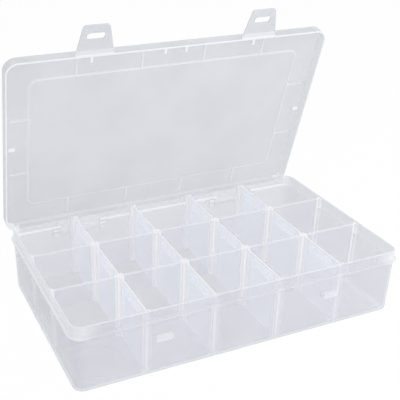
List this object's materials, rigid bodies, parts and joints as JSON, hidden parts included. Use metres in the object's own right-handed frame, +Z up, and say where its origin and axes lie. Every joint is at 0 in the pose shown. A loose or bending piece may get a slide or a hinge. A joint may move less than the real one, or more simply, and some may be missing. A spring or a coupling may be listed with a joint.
{
  "type": "bead storage box",
  "caption": "Clear hinged box with lift-out dividers that make a grid of compartments, shut by slotted latches on film hinges.",
  "frame": {"origin": "centre of the tray's flat foot", "axes": "+Z up, +X along the long side to the right, the front with the catches faces -Y"},
  "size_m": [0.275, 0.1845, 0.2251],
  "materials": {
    "clear_tray": "moulded, milky clear",
    "clear_lid": "moulded, milky clear, fine satin",
    "clear_latch": "moulded, milky clear",
    "clear_divider": "moulded, milky clear"
  },
  "bodies": {
    "tray": {"tray": "clear_tray"},
    "lid": {"lid": "clear_lid"},
    "left_latch": {"left_latch": "clear_latch"},
    "right_latch": {"right_latch": "clear_latch"},
    "front_long_divider": {"front_long_divider": "clear_divider"},
    "back_long_divider": {"back_long_divider": "clear_divider"},
    "divider_front_1": {"divider_front_1": "clear_divider"},
    "divider_front_2": {"divider_front_2": "clear_divider"},
    "divider_front_3": {"divider_front_3": "clear_divider"},
    "divider_front_4": {"divider_front_4": "clear_divider"},
    "divider_middle_1": {"divider_middle_1": "clear_divider"},
    "divider_middle_2": {"divider_middle_2": "clear_divider"},
    "divider_middle_3": {"divider_middle_3": "clear_divider"},
    "divider_middle_4": {"divider_middle_4": "clear_divider"},
    "divider_back_1": {"divider_back_1": "clear_divider"},
    "divider_back_2": {"divider_back_2": "clear_divider"},
    "divider_back_3": {"divider_back_3": "clear_divider"},
    "divider_back_4": {"divider_back_4": "clear_divider"}
  },
  "joints": [
    {"name": "lid_hinge", "type": "hinge", "parent": "tray", "child": "lid", "pos_m": [0, 0.0838, 0.0395], "axis": [-1, 0, 0], "range_deg": [-74, 106]},
    {"name": "left_latch_fold", "type": "hinge", "parent": "lid", "child": "left_latch", "pos_m": [-0.07, 0.04549, 0.20214], "axis": [-1, 0, 0], "range_deg": [-90, 0], "stiffness_Nm_per_rad": 0.004},
    {"name": "right_latch_fold", "type": "hinge", "parent": "lid", "child": "right_latch", "pos_m": [0.07, 0.04549, 0.20214], "axis": [-1, 0, 0], "range_deg": [-90, 0], "stiffness_Nm_per_rad": 0.004},
    {"name": "front_long_divider_lift", "type": "slide", "parent": "tray", "child": "front_long_divider", "axis": [0, 0, 1], "range_m": [0, 0.05]},
    {"name": "back_long_divider_lift", "type": "slide", "parent": "tray", "child": "back_long_divider", "axis": [0, 0, 1], "range_m": [0, 0.05]},
    {"name": "divider_front_1_lift", "type": "slide", "parent": "tray", "child": "divider_front_1", "axis": [0, 0, 1], "range_m": [0, 0.05]},
    {"name": "divider_front_2_lift", "type": "slide", "parent": "tray", "child": "divider_front_2", "axis": [0, 0, 1], "range_m": [0, 0.05]},
    {"name": "divider_front_3_lift", "type": "slide", "parent": "tray", "child": "divider_front_3", "axis": [0, 0, 1], "range_m": [0, 0.05]},
    {"name": "divider_front_4_lift", "type": "slide", "parent": "tray", "child": "divider_front_4", "axis": [0, 0, 1], "range_m": [0, 0.05]},
    {"name": "divider_middle_1_lift", "type": "slide", "parent": "tray", "child": "divider_middle_1", "axis": [0, 0, 1], "range_m": [0, 0.05]},
    {"name": "divider_middle_2_lift", "type": "slide", "parent": "tray", "child": "divider_middle_2", "axis": [0, 0, 1], "range_m": [0, 0.05]},
    {"name": "divider_middle_3_lift", "type": "slide", "parent": "tray", "child": "divider_middle_3", "axis": [0, 0, 1], "range_m": [0, 0.05]},
    {"name": "divider_middle_4_lift", "type": "slide", "parent": "tray", "child": "divider_middle_4", "axis": [0, 0, 1], "range_m": [0, 0.05]},
    {"name": "divider_back_1_lift", "type": "slide", "parent": "tray", "child": "divider_back_1", "axis": [0, 0, 1], "range_m": [0, 0.05]},
    {"name": "divider_back_2_lift", "type": "slide", "parent": "tray", "child": "divider_back_2", "axis": [0, 0, 1], "range_m": [0, 0.05]},
    {"name": "divider_back_3_lift", "type": "slide", "parent": "tray", "child": "divider_back_3", "axis": [0, 0, 1], "range_m": [0, 0.05]},
    {"name": "divider_back_4_lift", "type": "slide", "parent": "tray", "child": "divider_back_4", "axis": [0, 0, 1], "range_m": [0, 0.05]}
  ]
}
